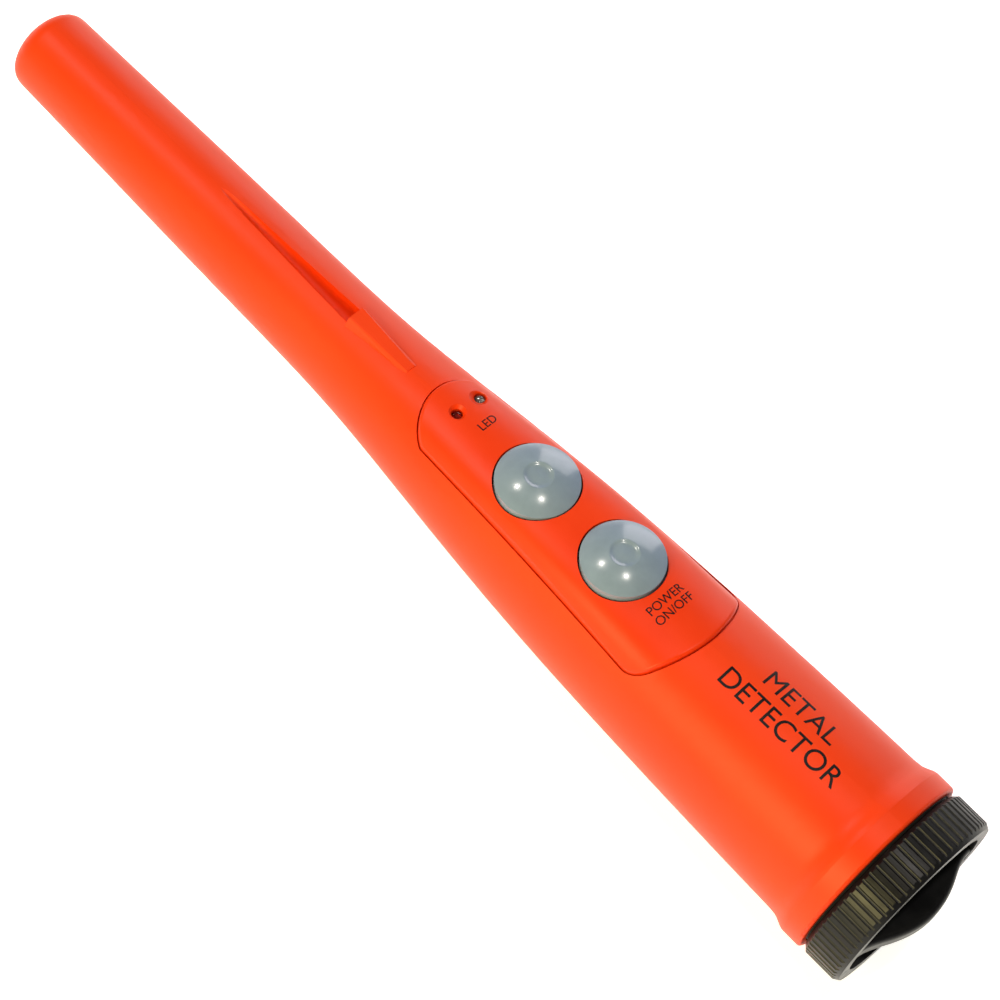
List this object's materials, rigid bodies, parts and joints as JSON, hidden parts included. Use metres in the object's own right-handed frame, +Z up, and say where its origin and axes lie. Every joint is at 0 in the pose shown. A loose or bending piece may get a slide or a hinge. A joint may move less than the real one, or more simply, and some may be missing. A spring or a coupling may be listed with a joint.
{
  "type": "handheld metal detector",
  "caption": "Handheld pinpointing metal detector: tapered probe tube, raised control panel with domed push buttons, torch lamp and screwed battery cap.",
  "frame": {"origin": "bottom centre of the bounding box, under the middle of the tube", "axes": "+X along the tube towards the probe tip, +Z up out of the control panel, +Y to the left when looking at the tip from the cap"},
  "size_m": [0.24, 0.0394, 0.0394],
  "materials": {
    "orange_shell": "moulded ABS with a fine satin grain",
    "orange_panel": "moulded ABS, smooth satin",
    "black_cap": "black ABS, polished rims and a grained face",
    "grey_button": "blue grey elastomer with a soft gloss",
    "seal_rubber": "matte",
    "foam": "open foam",
    "switch_plastic": "black nylon",
    "switch_plunger": "ivory nylon",
    "red_lens": "tinted epoxy",
    "clear_lens": "clear epoxy",
    "tinned_metal": "tinned",
    "white_wire": "PVC insulation",
    "blue_wire": "PVC insulation",
    "red_wire": "PVC insulation",
    "black_wire": "PVC insulation",
    "board_laminate": "green solder mask",
    "screw_steel": "zinc plated",
    "chip_resin": "black moulding compound",
    "crystal_can": "drawn can",
    "white_plastic": "natural nylon",
    "capacitor_sleeve": "shrink sleeve",
    "chip_ceramic": "fired",
    "trimmer_blue": "moulded",
    "motor_can": "drawn can",
    "weight_metal": "sintered",
    "ferrite": "ground ferrite",
    "bobbin_plastic": "glass filled nylon",
    "enamel_copper": "enamelled copper",
    "battery_case": "printed steel jacket",
    "snap_vinyl": "moulded vinyl"
  },
  "bodies": {
    "housing": {"main_housing": "orange_shell", "control_panel": "orange_panel", "panel_gasket": "seal_rubber", "torch_switch_body": "switch_plastic", "power_switch_body": "switch_plastic", "red_indicator_led": "red_lens", "clear_indicator_led": "clear_lens", "indicator_led_pins": "tinned_metal", "torch_led": "clear_lens", "torch_led_leads": "white_wire", "circuit_board": "board_laminate", "board_screws": "screw_steel", "microcontroller": "chip_resin", "amplifier_chip": "chip_resin", "voltage_regulator": "chip_resin", "crystal": "crystal_can", "coil_socket": "white_plastic", "electrolytic_capacitors": "capacitor_sleeve", "chip_components": "chip_ceramic", "sensitivity_trimmer": "trimmer_blue", "piezo_buzzer": "switch_plastic", "vibration_motor": "motor_can", "motor_holder": "white_plastic", "motor_leads": "blue_wire", "ferrite_rod": "ferrite", "coil_bobbin": "bobbin_plastic", "coil_winding": "enamel_copper", "rear_coil_support": "white_plastic", "front_coil_support": "white_plastic", "coil_leads": "enamel_copper", "coil_plug": "white_plastic", "battery_9v": "battery_case", "battery_terminals": "tinned_metal", "snap_contacts": "tinned_metal", "battery_snap": "snap_vinyl", "bulkhead_foam_pad": "foam", "battery_bulkhead": "white_plastic", "battery_lead_red": "red_wire", "battery_lead_black": "black_wire"},
    "cap_seal": {"cap_o_ring": "seal_rubber"},
    "battery_cap": {"battery_cap": "black_cap", "cap_foam_pad": "foam"},
    "torch_button": {"torch_button": "grey_button", "torch_switch_plunger": "switch_plunger"},
    "power_button": {"power_button": "grey_button", "power_switch_plunger": "switch_plunger"},
    "motor_weight": {"motor_shaft": "motor_can", "eccentric_weight": "weight_metal"}
  },
  "joints": [
    {"name": "cap_lift", "type": "slide", "parent": "housing", "child": "cap_seal", "axis": [-1, 0, 0], "range_m": [0, 0.00501]},
    {"name": "cap_turn", "type": "hinge", "parent": "cap_seal", "child": "battery_cap", "pos_m": [-0.112, 0, 0.0197], "axis": [-1, 0, 0], "range_deg": [0, 720]},
    {"name": "torch_button_press", "type": "slide", "parent": "housing", "child": "torch_button", "axis": [-0.0872, 0, -0.9962], "range_m": [0, 0.0008], "stiffness_N_per_m": 1500, "springref_m": -0.0008},
    {"name": "power_button_press", "type": "slide", "parent": "housing", "child": "power_button", "axis": [-0.0872, 0, -0.9962], "range_m": [0, 0.0008], "stiffness_N_per_m": 1500, "springref_m": -0.0008},
    {"name": "weight_spin", "type": "hinge", "parent": "housing", "child": "motor_weight", "pos_m": [-0.0148, 0, 0.0117], "axis": [1, 0, 0], "continuous": true}
  ],
  "couplings": [
    {"joint": "cap_lift", "follows": "cap_turn", "m_per_rad": 0.00039789}
  ]
}
